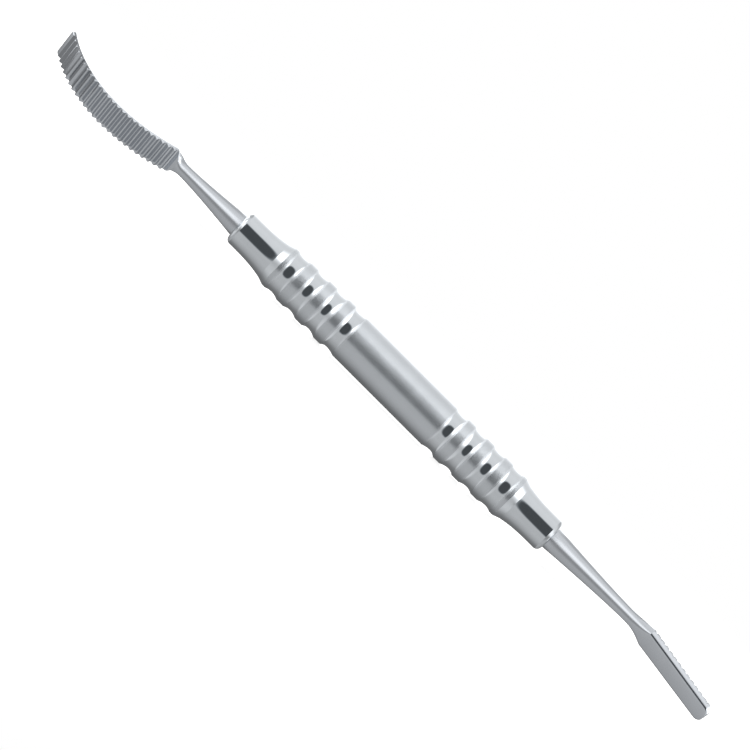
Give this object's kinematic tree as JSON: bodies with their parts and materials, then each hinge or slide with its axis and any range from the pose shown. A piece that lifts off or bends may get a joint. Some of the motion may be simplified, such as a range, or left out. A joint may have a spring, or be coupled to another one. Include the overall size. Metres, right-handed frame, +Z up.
{
  "type": "bone file",
  "caption": "Double-ended surgical bone file with a curved and a straight cross-toothed blade on a ringed steel grip.",
  "frame": {"origin": "centre of the box that holds the part, at its bottom, on the surface that the part lies on", "axes": "+X along the handle towards the straight blade, +Z up, +Y away from the side that both blades lean to"},
  "size_m": [0.1822, 0.0112, 0.0104],
  "materials": {
    "handle_steel": "satin crests and middle, polished grooves and ends",
    "curved_file_steel": "polished shank, fine ground teeth",
    "straight_file_steel": "polished shank, fine ground teeth"
  },
  "bodies": {
    "root": {"handle": "handle_steel", "curved_file": "curved_file_steel", "straight_file": "straight_file_steel"}
  },
  "joints": []
}
